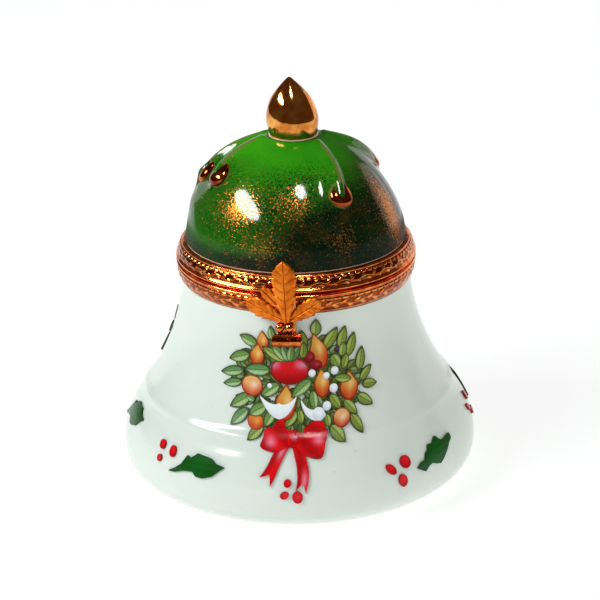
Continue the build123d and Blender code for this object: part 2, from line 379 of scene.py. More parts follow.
def green_glaze():
    """Transparent green over a metallic ground, stippled with gold and dark specks. Its green is darkened
    with painted shade and painted reflection, and its real gold flecks are heaped where the lamps'
    highlights fall, which makes them partly painted glint.
    """
    f = Finish("green_lustre_glaze")
    pool = f.noise(0.14, 3.0)
    bright = f.mix(pool, paint(22, 122, 8), paint(66, 180, 20))
    deep_and_shaded_green = f.mix(pool, paint(4, 18, 8), paint(6, 40, 12))
    # Painted shade and painted reflection: the depth value darkens the green towards near black lower
    # down, at the front middle, on the right and at the foot; only part of it is glaze pooled thicker.
    ground = f.mix(f.value("depth"), bright, deep_and_shaded_green)
    # Gold flecks, thickest where the lamps' highlights fall, so partly painted glint.
    density = f.value("gold_dust_and_glint")
    coarse = f.noise(3.6, 4.0)
    fine = f.noise(7.0, 2.0)
    sprinkle = f.plus(f.times(coarse, 0.55), f.times(fine, 0.45))
    level = f.minus(sprinkle, f.times(density, 0.135))
    gold = f.minus(1.0, f.step(level, 0.345, 0.385))
    warm = f.mix(f.noise(1.3, 2.0), paint(132, 46, 14), paint(214, 140, 54))
    soot = f.times(f.step(f.noise(3.8, 3.0), 0.50, 0.54), f.value("stipple"))
    fired = f.mix(f.step(f.noise(0.35, 2.0), 0.46, 0.6), paint(2, 12, 4), paint(58, 38, 14))
    shaded = f.mix(f.times(soot, 0.95), ground, fired)
    body = f.mix(gold, shaded, warm)
    crest = f.value("crest")
    worn = f.value("worn")
    tan = f.mix(f.noise(2.2, 4.0), paint(92, 86, 34), paint(150, 140, 78))
    relief = f.bump(f.noise(0.45, 3.0), 0.05, f.bump(gold, 0.012))
    return f.surface(
        Base_Color=f.mix(f.times(crest, 0.9), body, tan),
        Metallic=f.times(gold, 0.85),
        Roughness=f.plus(f.times(gold, 0.16), f.span(worn, 0.10, 0.55)),
        Specular_IOR_Level=0.12,
        Normal=relief,
        Coat_Weight=f.span(worn, 0.2, 0.0),
        Coat_Roughness=0.04,
        Coat_IOR=1.5,
    )


def gilding(name, light, dark, roughness):
    """Burnished gold, thinner and redder in places."""
    f = Finish(name)
    wear = f.noise(0.5, 4.0)
    scratches = f.noise(7.0, 5.0)
    return f.surface(
        Base_Color=f.mix(f.step(wear, 0.35, 0.7), dark, light),
        Metallic=1.0,
        Roughness=f.span(scratches, roughness * 0.6, roughness * 1.5),
        Normal=f.bump(f.noise(0.9, 3.0), 0.02),
    )


def brass(name, light, dark, roughness, crevices):
    """Gilt brass, with dark patina in the hollows of its relief where the mesh gives one."""
    f = Finish(name)
    cloud = f.noise(0.7, 4.0)
    tarnish = f.noise(3.5, 5.0)
    metal = f.mix(f.step(cloud, 0.3, 0.7), dark, light)
    stained = f.mix(f.times(f.step(tarnish, 0.52, 0.75), 0.45), metal, dark * 0.4)
    if crevices:
        hollow = f.minus(1.0, f.step(f.value("relief"), 0.02, 0.5))
        stained = f.mix(f.times(hollow, 0.8), stained, dark * 0.16)
    return f.surface(
        Base_Color=stained,
        Metallic=1.0,
        Roughness=f.span(tarnish, roughness * 0.7, roughness * 1.6),
        Normal=f.bump(f.noise(5.0, 4.0), 0.012, f.bump(cloud, 0.03)),
    )


def cement():
    f = Finish("dental_cement")
    grit = f.noise(4.0, 5.0)
    return f.surface(
        Base_Color=f.mix(grit, paint(172, 164, 146), paint(214, 208, 192)),
        Roughness=0.85,
        Normal=f.bump(grit, 0.05),
    )


WHITE = porcelain("white_porcelain_glaze")
GREEN = green_glaze()
GOLD = gilding("gold_lustre", paint(236, 170, 88), paint(196, 112, 44), 0.07)
RED_GOLD = gilding("red_gold_drops", paint(196, 104, 40), paint(122, 40, 14), 0.08)
BAND = brass("chased_band_brass", paint(246, 150, 78), paint(196, 82, 32), 0.12, True)
CLASP = brass("satin_clasp_brass", paint(242, 138, 42), paint(206, 98, 24), 0.38, True)
BEAD = brass("polished_bead_brass", paint(226, 138, 66), paint(170, 76, 30), 0.07, False)
HINGE = brass("hinge_brass_metal", paint(222, 136, 66), paint(164, 78, 32), 0.22, False)
CEMENT = cement()


# ---------------------------------------------------------------- porcelain body

BODY_SURFACE = surface_of("bell_body")
BODY_COLUMNS = 288
SPOT = 0.4  # radius of the flat middle where a turned surface closes
LEDGE_Z = corners("lower_bezel")[0].z - 0.11  # where the flare ends under the band
STEP_Z = 14.9  # middle of the moulded step


def body_outline():
    """Levels and radii up the outside, with the step's crease softened into a roll over a hollow."""
    levels = np.linspace(0.03, LEDGE_Z, 240)
    radii = np.array([outer_radius(BODY_SURFACE, z) for z in levels])
    radii += (softened(radii, 3) - radii) * hump(levels, STEP_Z, 2.2)
    radii += 0.26 * hump(levels, STEP_Z + 0.5, 0.55)
    radii -= 0.14 * hump(levels, STEP_Z - 1.3, 0.9)
    return levels, radii


BODY_LEVELS, BODY_RADII = body_outline()
BODY_SLOPE = np.gradient(BODY_RADII, BODY_LEVELS)


def make_bell():
    top = corners("bell_body")[1].z
    floor = reach(BODY_SURFACE, (0.01, 0, 20), (0, 0, -1))[1]
    under_r = np.linspace(SPOT, BODY_RADII[0] - 0.12, 45)
    under_z = [reach(BODY_SURFACE, (r, 0, -5), (0, 0, 1))[1] for r in under_r]
    neck_r = outer_radius(BODY_SURFACE, (LEDGE_Z + top) / 2)
    inner_z = np.linspace(top - 0.03, floor + 0.03, 40)
    inner_r = [bore_radius(BODY_SURFACE, z) for z in inner_z]
    floor_r = np.linspace(inner_r[-1] - 0.3, SPOT, 12)
    rounded = 0.06
    neck = [(neck_r, LEDGE_Z), (neck_r, top - rounded), (neck_r - rounded, top)]
    radii = [*under_r, *BODY_RADII, *[r for r, _ in neck], inner_r[0] + rounded, *inner_r, *floor_r]
    levels = [*softened(np.array(under_z), 1), *BODY_LEVELS, *[z for _, z in neck], top, *inner_z]
    levels += [floor] * len(floor_r)
    shape = capped_body(turned(radii, levels, BODY_COLUMNS))
    piece("porcelain_bell", "base", shape, WHITE, ["bell_body"])


make_bell()


# ---------------------------------------------------------------- painting on the body


def on_body(x, z, turn, lift):
    """Points on the glaze: x mm to the right of a direction, measured round the body at height z."""
    radius = np.interp(z, BODY_LEVELS, BODY_RADII)
    slope = np.interp(z, BODY_LEVELS, BODY_SLOPE)
    tilt = np.sqrt(1 + slope**2)
    around = math.radians(turn) + x / radius
    out = radius + lift / tilt
    return spots(out * np.sin(around), -out * np.cos(around), z - lift * slope / tilt)


ENAMEL = 0.02  # first layer above the glaze
LAYER = 0.0011  # each later stroke lies on the ones before it
SINK = -0.05  # the strokes' undersides lie in the glaze


class Painting:
    """Strokes of one kind that become one piece."""

    strokes = 0

    def __init__(self):
        self.bodies = []
        self.values = {"tint": [], "rim": [], "along": [], "across": []}

    def add(self, make_body, grid, turn, **values):
        """Stroke over a grid of x and z, with its values at the grid's points."""
        lift = ENAMEL + LAYER * Painting.strokes
        Painting.strokes += 1
        top = on_body(grid[..., 0], grid[..., 1], turn, lift)
        bottom = on_body(grid[..., 0], grid[..., 1], turn, SINK)
        self.bodies.append(make_body(top, bottom))
        for key, data in values.items():
            flat = data.reshape(-1, *data.shape[2:])
            if make_body is disc_body:
                flat = np.concatenate([flat, data[:1].mean(1)])
            self.values[key] += [flat, flat]

    def finish(self, name, material):
        values = {key: np.concatenate(data) for key, data in self.values.items()}
        piece(name, "base", joined(self.bodies), material, values=values)


def blend(share, a, b):
    share = np.clip(share, 0, 1)[..., None]
    return a * (1 - share) + b * share


def outlined(points, count, soft=True):
    """Closed outline through a few points, as count points evenly round it."""
    points = np.asarray(points, float)
    if soft:
        before, after, beyond = (np.roll(points, shift, 0) for shift in (1, -1, -2))
        steps = np.linspace(0, 1, 12, endpoint=False)[:, None, None]
        points = 0.5 * (
            2 * points
            + (after - before) * steps
            + (2 * before - 5 * points + 4 * after - beyond) * steps**2
            + (3 * points - before - 3 * after + beyond) * steps**3
        )
        points = points.transpose(1, 0, 2).reshape(-1, 2)
    loop = np.vstack([points, points[:1]])
    length = np.concatenate([[0], np.cumsum(np.hypot(*np.diff(loop, axis=0).T))])
    even = np.linspace(0, length[-1], count, endpoint=False)
    return np.stack([np.interp(even, length, loop[:, i]) for i in range(2)], -1)


def disc(painting, outline, turn, colour, axis, half_width, rings=9, middle=None):
    """One stroke filled from its outline to its middle. Axis holds the ends of its length."""
    middle = outline.mean(0) if middle is None else np.array(middle)
    rho = np.linspace(1 / rings, 1, rings)[:, None]
    grid = middle + rho[..., None] * (outline - middle)
    start, end = np.array(axis[0], float), np.array(axis[1], float)
    span = end - start
    length = np.hypot(*span)
    along = (grid - start) @ span / length**2
    across = (grid - start) @ np.array([-span[1], span[0]]) / length / half_width
    rim = rho + 0 * along
    tint = colour(along, across)
    painting.add(disc_body, grid, turn, tint=tint, rim=rim, along=along, across=across)


def leaf_edge(base, tip, width, count=56, tip_power=0.85):
    """Outline of a pointed leaf."""
    base, tip = np.array(base, float), np.array(tip, float)
    span = tip - base
    length = np.hypot(*span)
    side = np.array([-span[1], span[0]]) / length
    share = np.linspace(0, 1, count // 2)
    bulge = np.sin(math.pi * share**tip_power) ** 0.8 * width / 2
    left = base + share[:, None] * span + bulge[:, None] * side
    right = base + share[::-1, None] * span - bulge[::-1, None] * side
    return outlined(np.vstack([left[:-1], right[:-1]]), count, soft=False)


def leaf_colour(body, glow, shade):
    def colour(along, across):
        lit = hump(across, 0.42, 0.3) * np.sin(math.pi * np.clip(along, 0, 1)) ** 0.7
        tone = blend(0.5 * fade(-across, 0.1, 0.8) + 0.3 * fade(along, 0.6, 1.0), body, shade)
        return blend(0.85 * lit, tone, glow)

    return colour


def fruit_colour(body, blush, glow, shift=0.0):
    def colour(along, across):
        ripe = fade(along + 0.35 * np.abs(across + shift), 0.45, 1.05)
        tone = blend(ripe, body, blush)
        spot = hump(along, 0.45, 0.16) * hump(across, 0.2, 0.32)
        return blend(0.8 * spot, tone, glow)

    return colour


LEAF_TONES = (
    (paint(122, 164, 84), paint(196, 220, 158), paint(58, 102, 54)),
    (paint(138, 164, 74), paint(186, 204, 116), paint(78, 100, 42)),
    (paint(110, 158, 92), paint(190, 222, 172), paint(50, 98, 60)),
    (paint(142, 162, 64), paint(180, 194, 92), paint(94, 108, 44)),
    (paint(84, 108, 54), paint(132, 154, 92), paint(48, 62, 36)),
    (paint(94, 112, 46), paint(138, 148, 78), paint(58, 66, 30)),
    (paint(110, 136, 84), paint(162, 184, 132), paint(62, 82, 52)),
)


def leaf(painting, base, tip, width, tone, turn, points=56, rings=9):
    edge = leaf_edge(base, tip, width, points)
    disc(painting, edge, turn, leaf_colour(*LEAF_TONES[tone]), (base, tip), width / 2, rings)


def apple_colour(body, blush, glow):
    """Red apple, pale where the light comes through the leaves at its shoulders."""

    def colour(along, across):
        tone = blend(fade(along, 0.35, 0.95), body, blush)
        spot = hump(along, 0.3, 0.13) * fade(np.abs(across + 0.1), 0.25, 0.7)
        return blend(0.8 * spot, tone, glow)

    return colour


def fruit(painting, centre, size, turn, colours, lean=0.0, pear=0.0, rings=9, shading=fruit_colour):
    """Round fruit, or a pear whose neck points up its lean."""
    angle = circle(48)
    width, height = size
    across = np.sin(angle) * width / 2 * (1 - pear * fade(np.cos(angle), -0.1, 1.0))
    up = np.cos(angle) * height / 2
    cos, sin = math.cos(math.radians(lean)), math.sin(math.radians(lean))
    outline = np.stack([centre[0] + across * cos - up * sin, centre[1] + across * sin + up * cos], -1)
    rise = np.array([-sin, cos]) * height / 2
    middle = np.array(centre, float)
    ends = (middle + rise, middle - rise)
    disc(painting, outline, turn, shading(*colours), ends, width / 2, rings, middle - rise * 0.3 * pear)


def band_stroke(painting, path, widths, turn, colour, fork=0.0):
    """Stroke along a soft path through a few points, with a width at each, and a forked end if asked."""
    path = np.asarray(path, float)
    knots = np.linspace(0, 1, len(path))
    share = np.linspace(0, 1, 36)[:, None]
    across = np.linspace(-1, 1, 13) + 0 * share
    along = share * (1 - fork * (1 - np.abs(across)))
    order = min(3, len(path) - 1)
    fits = [np.polyfit(knots, path[:, i], order) for i in range(2)]
    x, z = (np.polyval(fit, along) for fit in fits)
    dx, dz = (np.polyval(np.polyder(fit), along) for fit in fits)
    speed = np.hypot(dx, dz)
    half = np.interp(along, knots, widths) / 2
    grid = np.stack([x - dz / speed * half * across, z + dx / speed * half * across], -1)
    tint = colour(along, across)
    painting.add(sheet_body, grid, turn, tint=tint, rim=np.abs(across), along=along, across=across)


WREATH_TURN = 4.0  # direction of the wreath's middle
LEAVES_BEHIND = (  # base, tip, width, tone
    ((-6.0, 28.5), (-9.0, 29.7), 1.7, 0),
    ((-7.2, 27.0), (-10.9, 25.8), 1.8, 0),
    ((-8.2, 24.5), (-12.4, 23.6), 1.6, 2),
    ((-8.6, 22.8), (-12.0, 22.0), 1.3, 2),
    ((-7.0, 21.2), (-10.8, 19.0), 1.8, 0),
    ((-7.6, 19.2), (-10.7, 16.6), 1.7, 2),
    ((-5.2, 17.2), (-7.9, 15.0), 1.6, 1),
    ((-3.6, 19.2), (-5.2, 16.8), 1.6, 0),
    ((-2.6, 23.0), (-5.7, 21.0), 1.9, 0),
    ((-6.6, 20.3), (-8.0, 20.9), 1.0, 2),
    ((1.2, 28.0), (0.8, 31.0), 1.5, 3),
    ((2.9, 29.9), (3.1, 32.6), 1.8, 1),
    ((0.2, 28.4), (-0.4, 30.8), 1.3, 3),
    ((4.2, 27.8), (6.4, 31.0), 1.8, 3),
    ((6.6, 27.6), (7.7, 31.0), 1.6, 3),
    ((8.0, 26.2), (9.2, 29.8), 1.6, 3),
    ((7.0, 26.4), (7.4, 28.6), 1.5, 1),
    ((9.8, 23.8), (10.5, 27.4), 1.7, 1),
    ((9.9, 22.4), (12.1, 24.4), 1.4, 3),
    ((10.3, 21.9), (13.0, 21.6), 1.4, 3),
    ((9.3, 20.6), (12.1, 18.8), 1.6, 1),
    ((8.2, 18.2), (10.3, 15.4), 1.5, 3),
    ((4.9, 17.0), (7.4, 14.6), 1.9, 1),
    ((5.0, 21.2), (6.7, 18.9), 1.5, 3),
    ((7.1, 20.2), (9.4, 17.9), 1.5, 1),
    ((5.4, 27.0), (6.6, 24.8), 1.8, 1),
    ((7.8, 26.8), (7.1, 24.4), 1.3, 3),
    ((2.3, 22.0), (2.7, 19.0), 1.5, 0),
    ((0.2, 19.4), (0.7, 17.2), 1.2, 3),
    ((0.0, 19.2), (-2.0, 16.8), 1.4, 1),
    ((4.4, 18.6), (4.8, 16.6), 1.2, 1),
    ((-3.6, 29.4), (-4.0, 31.6), 1.2, 0),
)
LEAVES_IN_FRONT = (
    ((2.3, 23.6), (-1.0, 21.0), 1.8, 0),
    ((-3.9, 24.9), (-8.3, 24.7), 2.0, 2),
    ((-4.7, 19.9), (-7.6, 18.3), 1.9, 0),
    ((8.5, 23.0), (5.5, 23.5), 1.3, 1),
    ((-1.5, 26.2), (-5.4, 28.4), 1.6, 1),
    ((0.9, 26.6), (1.2, 29.2), 1.4, 3),
    ((-1.3, 26.2), (-3.8, 28.8), 1.5, 0),
    ((-1.1, 26.2), (0.6, 28.6), 1.4, 2),
    ((-1.2, 26.1), (-2.2, 28.9), 1.4, 2),
    ((-1.1, 26.1), (-0.6, 28.9), 1.3, 0),
)
GOLDEN = (paint(226, 160, 66), paint(202, 62, 26), paint(246, 206, 132))
ORANGE = (paint(222, 120, 38), paint(204, 66, 18), paint(240, 170, 80))
PEACH = (paint(236, 178, 108), paint(206, 70, 50), paint(252, 216, 200))
APPLE = (paint(222, 24, 36), paint(160, 2, 10), paint(222, 140, 170))
CHERRY = (paint(150, 28, 38), paint(112, 12, 20), paint(190, 70, 84))
FRUITS = (  # centre, size, colours, lean, pear
    ((-5.2, 29.2), (1.9, 3.0), GOLDEN, 4, 0.5),
    ((-6.1, 27.0), (2.3, 3.4), GOLDEN, -4, 0.55),
    ((-7.0, 22.4), (3.5, 3.1), PEACH, 0, 0.0),
    ((-6.5, 17.5), (2.6, 2.4), ORANGE, 0, 0.0),
    ((3.3, 27.8), (2.7, 5.6), GOLDEN, 16, 0.6),
    ((1.9, 26.8), (1.8, 1.8), CHERRY, 0, 0.0),
    ((2.9, 25.6), (2.0, 1.5), CHERRY, 0, 0.0),
    ((3.8, 22.9), (2.5, 4.2), GOLDEN, 3, 0.5),
    ((8.1, 22.1), (3.1, 4.2), GOLDEN, 0, 0.6),
    ((6.8, 17.8), (2.8, 2.7), PEACH, 0, 0.0),
    ((-1.8, 20.3), (3.2, 5.2), GOLDEN, -4, 0.6),
)
SNOW_ARCS = (  # path and widths
    (((-5.7, 21.0), (-4.3, 19.6), (-2.8, 19.0), (-1.4, 19.6), (-0.1, 21.1)), (0.1, 1.2, 2.3, 1.2, 0.1)),
    (((0.6, 20.6), (1.3, 19.2), (2.4, 18.5), (3.3, 18.5), (4.0, 18.8)), (0.1, 0.8, 1.4, 1.7, 0.9)),
)
SNOW_BALLS = (  # centre and size
    ((2.3, 24.4), 1.1),
    ((5.8, 24.5), 1.2),
    ((4.5, 19.6), 1.3),
    ((4.5, 23.9), 1.0),
    ((5.6, 22.0), 1.3),
    ((3.2, 18.6), 1.9),
    ((-4.2, 22.6), 0.7),
)


def snow_colour(along, across):
    return blend(0.55 * fade(-across, -0.2, 1.0), paint(240, 244, 246), paint(206, 206, 232))


def ribbon_colour(folds, shine):
    """Red silk with soft folds across it and pink light at one place along it."""

    def colour(along, across):
        fold = 0.5 + 0.5 * np.sin(folds * along + 2.2 * across)
        silk = blend(0.75 * fold, paint(238, 10, 18), paint(160, 2, 12))
        light = hump(along, shine, 0.13) * hump(across, 0.25, 0.4)
        return blend(0.75 * light, silk, paint(250, 150, 180))

    return colour


def red_dot(painting, centre, size, turn, lean=0.0):
    tones = (paint(226, 8, 20), paint(188, 2, 12), paint(234, 30, 40))
    fruit(painting, centre, size, turn, tones, lean, rings=5)


def paint_undergrowth():
    """Small dark leaves that fill the gaps of the wreath, inside an oval."""
    leaves = Painting()
    rng = np.random.default_rng(11)
    middle_z = 23.1
    for i in range(260):
        angle = 2 * math.pi * i / 60 + rng.uniform(-0.1, 0.1)
        share = math.sqrt(rng.uniform(0.0, 1.0))
        x, z = 8.9 * share * math.cos(angle), middle_z + 6.7 * share * math.sin(angle)
        length = rng.uniform(1.6, 2.9)
        way = angle + rng.uniform(-0.8, 0.8)
        tip = (x + length * math.cos(way), z + length * math.sin(way))
        if math.hypot(tip[0] / 11.4, (tip[1] - middle_z) / 8.4) < 1 and tip[1] < 30.0:
            leaf(leaves, (x, z), tip, rng.uniform(1.1, 1.7), 4 + i % 3, WREATH_TURN, 32, 5)
    leaves.finish("painted_undergrowth", LEAF_PAINT)


def paint_wreath():
    leaves, fruits, snow, front = Painting(), Painting(), Painting(), Painting()
    for base, tip, width, tone in LEAVES_BEHIND:
        leaf(leaves, base, tip, width, tone, WREATH_TURN)
    leaves.finish("painted_leaves_behind", LEAF_PAINT)
    for centre, size, colours, lean, pear in FRUITS:
        fruit(fruits, centre, size, WREATH_TURN, colours, lean, pear)
    fruit(fruits, (-1.1, 24.9), (6.0, 4.2), WREATH_TURN, APPLE, shading=apple_colour)
    fruits.finish("painted_fruit", FRUIT_PAINT)
    for base, tip, width, tone in LEAVES_IN_FRONT:
        leaf(front, base, tip, width, tone, WREATH_TURN)
    front.finish("painted_leaves_in_front", LEAF_PAINT)
    for path, widths in SNOW_ARCS:
        band_stroke(snow, path, widths, WREATH_TURN, snow_colour)
    for centre, size in SNOW_BALLS:
        tones = (paint(236, 240, 244), paint(208, 214, 232), paint(250, 250, 250))
        fruit(snow, centre, (size, size), WREATH_TURN, tones, rings=5)
    snow.finish("painted_snow", SNOW_PAINT)
    berry = Painting()
    blue = (paint(40, 52, 84), paint(24, 30, 54), paint(90, 104, 140))
    fruit(berry, (6.2, 27.6), (0.8, 0.8), WREATH_TURN, blue, rings=5)
    berry.finish("painted_blue_berry", FRUIT_PAINT)


BOW_KNOT = (-0.7, 15.4)
BOW_TAILS = (  # path on from the knot, widths, folds, place of the shine, depth of the fork
    (((-2.6, 13.8), (-3.8, 11.8), (-5.2, 9.6)), (0.9, 1.5, 1.6, 2.0), 5.0, 0.35, 0.16),
    (((0.2, 13.2), (0.7, 11.0), (0.3, 8.2)), (0.9, 1.6, 1.8, 1.6), 4.0, 0.8, 0.14),
)
RIGHT_LOOP_INSIDE = ((0.8, 16.4), (1.7, 17.3), (3.0, 17.7), (4.0, 17.3), (4.0, 16.0), (2.0, 15.6))
LEFT_LOOP_INSIDE = ((-3.6, 17.2), (-2.3, 18.0), (-1.8, 16.8), (-1.4, 15.8), (-3.0, 16.0))
LEFT_LOOP = (
    *((-1.0, 16.2), (-2.6, 16.9), (-4.8, 16.7), (-5.3, 15.6)),
    *((-5.8, 14.3), (-4.6, 13.7), (-2.8, 13.8), (-1.1, 14.8)),
)
RIGHT_LOOP = (
    *((-0.4, 16.3), (1.4, 15.9), (3.0, 15.9), (4.6, 16.4), (4.2, 14.8)),
    *((3.7, 12.9), (2.2, 12.8), (0.6, 13.5), (-0.5, 14.6)),
)
KNOT = ((-1.3, 16.4), (-0.2, 16.5), (0.0, 15.4), (-0.4, 14.3), (-1.4, 14.4), (-1.6, 15.4))
BOW_SHAPES = (  # outline, points round it, folds, place of the shine, ends, half width
    (RIGHT_LOOP_INSIDE, 48, 3.0, -1.0, ((0.8, 16.6), (4.0, 16.6)), 1.0),
    (LEFT_LOOP_INSIDE, 40, 3.0, -1.0, ((-3.4, 16.8), (-1.5, 16.8)), 1.0),
    (LEFT_LOOP, 60, 7.0, 0.7, (BOW_KNOT, (-5.6, 15.4)), 1.5),
    (RIGHT_LOOP, 60, 6.0, 0.75, (BOW_KNOT, (4.4, 14.8)), 1.5),
    (KNOT, 40, 2.0, 0.35, ((-0.8, 16.4), (-0.8, 14.3)), 0.9),
)


def paint_bow():
    bow = Painting()
    for path, widths, folds, shine, fork in BOW_TAILS:
        band_stroke(bow, (BOW_KNOT, *path), widths, WREATH_TURN, ribbon_colour(folds, shine), fork)
    for outline, count, folds, shine, ends, half_width in BOW_SHAPES:
        colour = ribbon_colour(folds, shine)
        disc(bow, outlined(outline, count), WREATH_TURN, colour, ends, half_width)
    bow.finish("painted_bow", RIBBON_PAINT)
    dots = Painting()
    red_dot(dots, (-1.7, 9.5), (1.1, 1.25), WREATH_TURN, -20)
    red_dot(dots, (-2.2, 7.7), (1.1, 1.4), WREATH_TURN, -60)
    red_dot(dots, (-0.2, 7.4), (1.6, 1.85), WREATH_TURN, 10)
    dots.finish("painted_bow_berries", BERRY_PAINT)


HOLLY_A = (  # outline about the sprig's direction
    *((-4.4, 8.2), (-3.0, 9.0), (-1.8, 9.9), (-0.9, 11.4), (-0.2, 11.1), (0.9, 12.0)),
    *((1.8, 11.9), (3.4, 11.8), (4.4, 11.2), (6.0, 10.9), (5.0, 10.1), (4.2, 9.3)),
    *((2.6, 8.7), (1.3, 8.7), (0.6, 9.3), (-1.2, 9.0), (-2.8, 8.4)),
)
HOLLY_B = (
    *((-3.6, 8.6), (-2.6, 9.3), (-1.7, 9.4), (-1.3, 10.3), (-0.7, 10.5), (-0.3, 11.3)),
    *((0.7, 11.1), (1.8, 11.9), (2.7, 11.0), (3.6, 10.9), (5.4, 11.2), (5.6, 10.4)),
    *((4.6, 9.9), (3.8, 9.2), (2.6, 8.4), (1.5, 7.8), (0.5, 8.1), (-0.4, 8.5)),
    *((-1.3, 8.3), (-2.1, 7.7)),
)
BERRIES_A = (  # centre, size, lean
    ((-6.7, 11.4), (1.3, 1.35), -10),
    ((-4.1, 11.1), (1.35, 1.65), 0),
    ((-6.8, 9.4), (1.0, 1.1), -15),
)
BERRIES_B = (
    ((-5.6, 10.2), (1.85, 1.9), 0),
    ((-8.4, 9.7), (1.3, 1.9), 40),
    ((-6.7, 7.6), (1.5, 2.0), 5),
)
BERRIES_C = (
    ((-9.1, 10.6), (1.4, 1.5), 0),
    ((-11.8, 9.6), (1.0, 1.5), 40),
    ((-10.2, 8.4), (1.1, 1.5), 5),
)
SPRIGS = (  # direction, mm above the front ones, outline, berries
    (-33.0, 0.0, HOLLY_A, BERRIES_A),
    (52.0, 0.0, HOLLY_B, BERRIES_B),
    (-77.0, 1.5, HOLLY_A, ()),
    (112.0, 1.2, HOLLY_A, BERRIES_C),
    (154.0, 0.0, HOLLY_B, BERRIES_A),
    (200.0, 0.0, HOLLY_A, BERRIES_B),
    (242.0, 0.0, HOLLY_B, BERRIES_A),
)


def holly_colour(along, across):
    mottle = 0.5 + 0.5 * np.sin(9 * along + 5 * across) * np.cos(7 * across)
    return blend(0.6 * mottle, paint(8, 96, 22), paint(22, 58, 8))


def paint_sprigs():
    holly, dots = Painting(), Painting()
    for turn, raised, outline, berries in SPRIGS:
        edge = np.array(outline) + (0, raised)
        disc(holly, outlined(edge, 90, soft=False), turn, holly_colour, (edge[0], edge[10]), 1.8, 8)
        for (x, z), size, lean in berries:
            red_dot(dots, (x, z + raised), size, turn, lean)
    holly.finish("painted_holly_leaves", HOLLY_PAINT)
    dots.finish("painted_holly_berries", BERRY_PAINT)


def paint_side_sprays():
    """Small sprays high on the flare at the sides that the front view barely reaches."""
    leaves, dots = Painting(), Painting()
    middle = np.array([0.0, 22.5])
    for turn in (-104.0, 180.0):
        for lean in (-150, -110, -60, 10, 60, 120, 170):
            angle = math.radians(lean)
            way = np.array([math.cos(angle), math.sin(angle)])
            leaf(leaves, middle + 0.8 * way, middle + 4.8 * way, 1.8, lean % 3, turn)
        for x, z in ((-0.6, 22.9), (0.7, 22.6), (0.0, 21.6)):
            red_dot(dots, (x, z), (1.2, 1.2), turn)
    leaves.finish("painted_side_leaves", LEAF_PAINT)
    dots.finish("painted_side_berries", BERRY_PAINT)


LEAF_PAINT = painted("leaf_enamel", paint(50, 52, 28), 0.78, True, 0.26, 5.0)
FRUIT_PAINT = painted("fruit_enamel", paint(118, 34, 16), 0.83, False, 0.24, 7.0)
SNOW_PAINT = painted("snow_enamel", paint(168, 176, 190), 0.95, False, 0.08, 3.0)
RIBBON_PAINT = painted("ribbon_enamel", paint(112, 2, 12), 0.92, False, 0.22, 4.0)
BERRY_PAINT = painted("berry_enamel", paint(140, 2, 14), 0.86, False, 0.1, 4.0)
HOLLY_PAINT = painted("holly_enamel", paint(14, 58, 12), 0.9, False, 0.3, 2.2)
paint_undergrowth()
paint_wreath()
paint_bow()
paint_sprigs()
paint_side_sprays()


# ---------------------------------------------------------------- glazed lid

LID_SURFACE = surface_of("lid_dome")
LID_COLUMNS = 480
RIB_TOP_R = 4.9
RIBS = (  # turn at the top and at the drop, and the drop's distance from the axis
    (50.0, 36.0, 13.3),
    (112.0, 122.0, 13.3),
    (192.0, 202.0, 13.3),
    (258.0, 265.0, 13.6),
    (284.0, 295.0, 12.2),
)
DROP_R = 1.75
# Gold dust heaped mostly at the places where the lamps' highlights and reflections fall: real gold flecks
# placed as painted glint.
GOLD_DUST_AND_GLINTS = (  # turn, height, spread in degrees and mm, strength
    (-32.0, 48.3, 17.0, 2.8, 1.0),
    (-14.0, 44.0, 14.0, 2.2, 0.7),
    (2.0, 49.5, 15.0, 2.6, 0.85),
    (30.0, 44.5, 9.0, 2.4, 0.6),
    (73.0, 45.8, 9.5, 6.0, 1.5),
    (140.0, 48.0, 24.0, 3.5, 0.9),
    (205.0, 46.0, 30.0, 3.0, 0.9),
    (250.0, 47.0, 18.0, 3.0, 0.8),
)
DOME_FOOT_Z = corners("upper_bezel")[1].z + 1.1  # the dome closes in above this level
SEAT_R = corners("finial")[1].x
SEAT_Z = reach(LID_SURFACE, (SEAT_R - 1, 0, OUTSIDE), (0, 0, -1))[1]


def dome_outline():
    """Radii and levels down the outside of the dome, from the finial's seat to its foot."""
    steep = math.atan2(SEAT_Z - DOME_FOOT_Z, SEAT_R + 0.02)
    hits = []
    for angle in np.linspace(steep, 0, 130):
        across, up = math.cos(angle), math.sin(angle)
        start = (OUTSIDE * across, 0, DOME_FOOT_Z + OUTSIDE * up)
        hits.append(reach(LID_SURFACE, start, (-across, 0, -up)))
    return [softened(np.array(column), 2) for column in zip(*hits)]


DOME_R, DOME_Z = dome_outline()


def dome_point(radius, turn, lift=0.0):
    """Points on the dome at a distance from the axis, and the directions out of it there."""
    radius = np.asarray(radius)
    level = np.interp(radius, DOME_R, DOME_Z)
    drop = np.interp(radius + 0.1, DOME_R, DOME_Z) - np.interp(radius - 0.1, DOME_R, DOME_Z)
    slope = drop / 0.2
    tilt = np.hypot(1, slope)
    side = outwards(np.radians(turn))
    out = side * (-slope / tilt)[..., None]
    out[..., 2] += 1 / tilt
    spot = side * radius[..., None]
    spot[..., 2] += level
    return spot + out * lift, out


def rib_spot(rib, share, lift=0.0):
    """As dome_point, at a share of the way down a rib."""
    top, foot, foot_r = rib
    return dome_point(RIB_TOP_R + (foot_r - RIB_TOP_R) * share, top + (foot - top) * share, lift)


